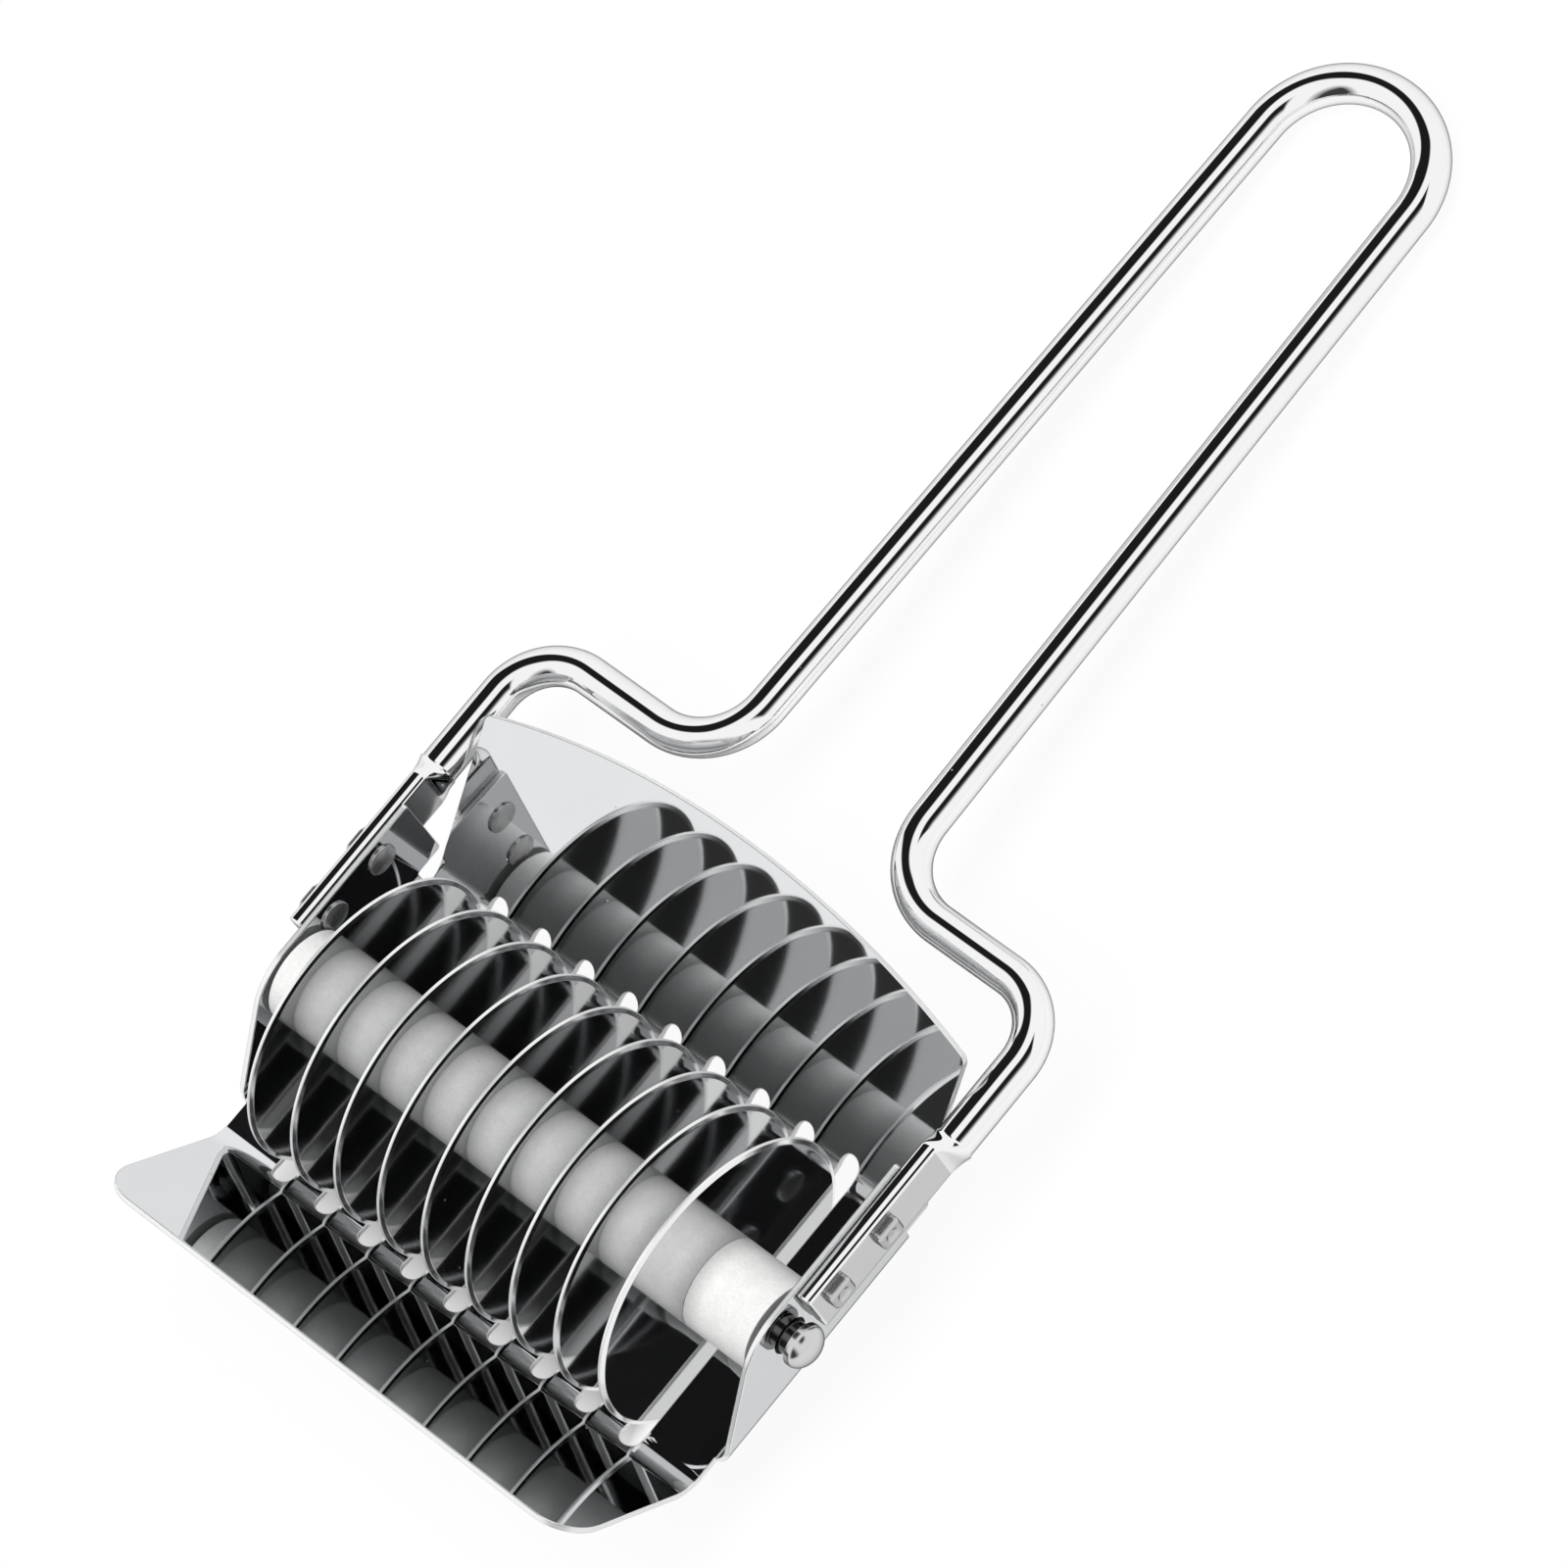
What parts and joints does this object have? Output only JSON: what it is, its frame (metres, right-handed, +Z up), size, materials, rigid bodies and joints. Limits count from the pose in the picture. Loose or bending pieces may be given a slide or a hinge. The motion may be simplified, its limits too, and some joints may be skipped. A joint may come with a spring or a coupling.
{
  "type": "noodle cutter roller",
  "caption": "Hand-held noodle cutter: thin steel discs and plastic spacers turn on an axle in a folded steel guard, with a bent wire handle riveted to its ears.",
  "frame": {"origin": "middle of the underside of the tool's box, on the surface that it stands on", "axes": "+X along the axle, +Y from the front guard to the end of the handle, +Z up"},
  "size_m": [0.0892, 0.197, 0.0391],
  "materials": {
    "sheet_steel": "mirror polished stainless sheet",
    "disc_steel": "polished stainless discs with bright cut rims",
    "wire_steel": "polished stainless wire",
    "pin_steel": "bright steel pins with formed heads",
    "white_plastic": "satin off-white moulded plastic"
  },
  "bodies": {
    "frame": {"housing": "sheet_steel", "handle_wire": "wire_steel", "axle": "pin_steel", "rivet_left_front": "pin_steel", "rivet_left_rear": "pin_steel", "rivet_right_front": "pin_steel", "rivet_right_rear": "pin_steel"},
    "roller": {"disc_1": "disc_steel", "disc_2": "disc_steel", "disc_3": "disc_steel", "disc_4": "disc_steel", "disc_5": "disc_steel", "disc_6": "disc_steel", "disc_7": "disc_steel", "disc_8": "disc_steel", "disc_9": "disc_steel", "spacer_1": "white_plastic", "spacer_2": "white_plastic", "spacer_3": "white_plastic", "spacer_4": "white_plastic", "spacer_5": "white_plastic", "spacer_6": "white_plastic", "spacer_7": "white_plastic", "spacer_8": "white_plastic", "end_spacer_left": "white_plastic", "end_spacer_right": "white_plastic"}
  },
  "joints": [
    {"name": "roller_spin", "type": "hinge", "parent": "frame", "child": "roller", "pos_m": [0, -0.06449, 0.01956], "axis": [1, 0, 0], "continuous": true}
  ]
}
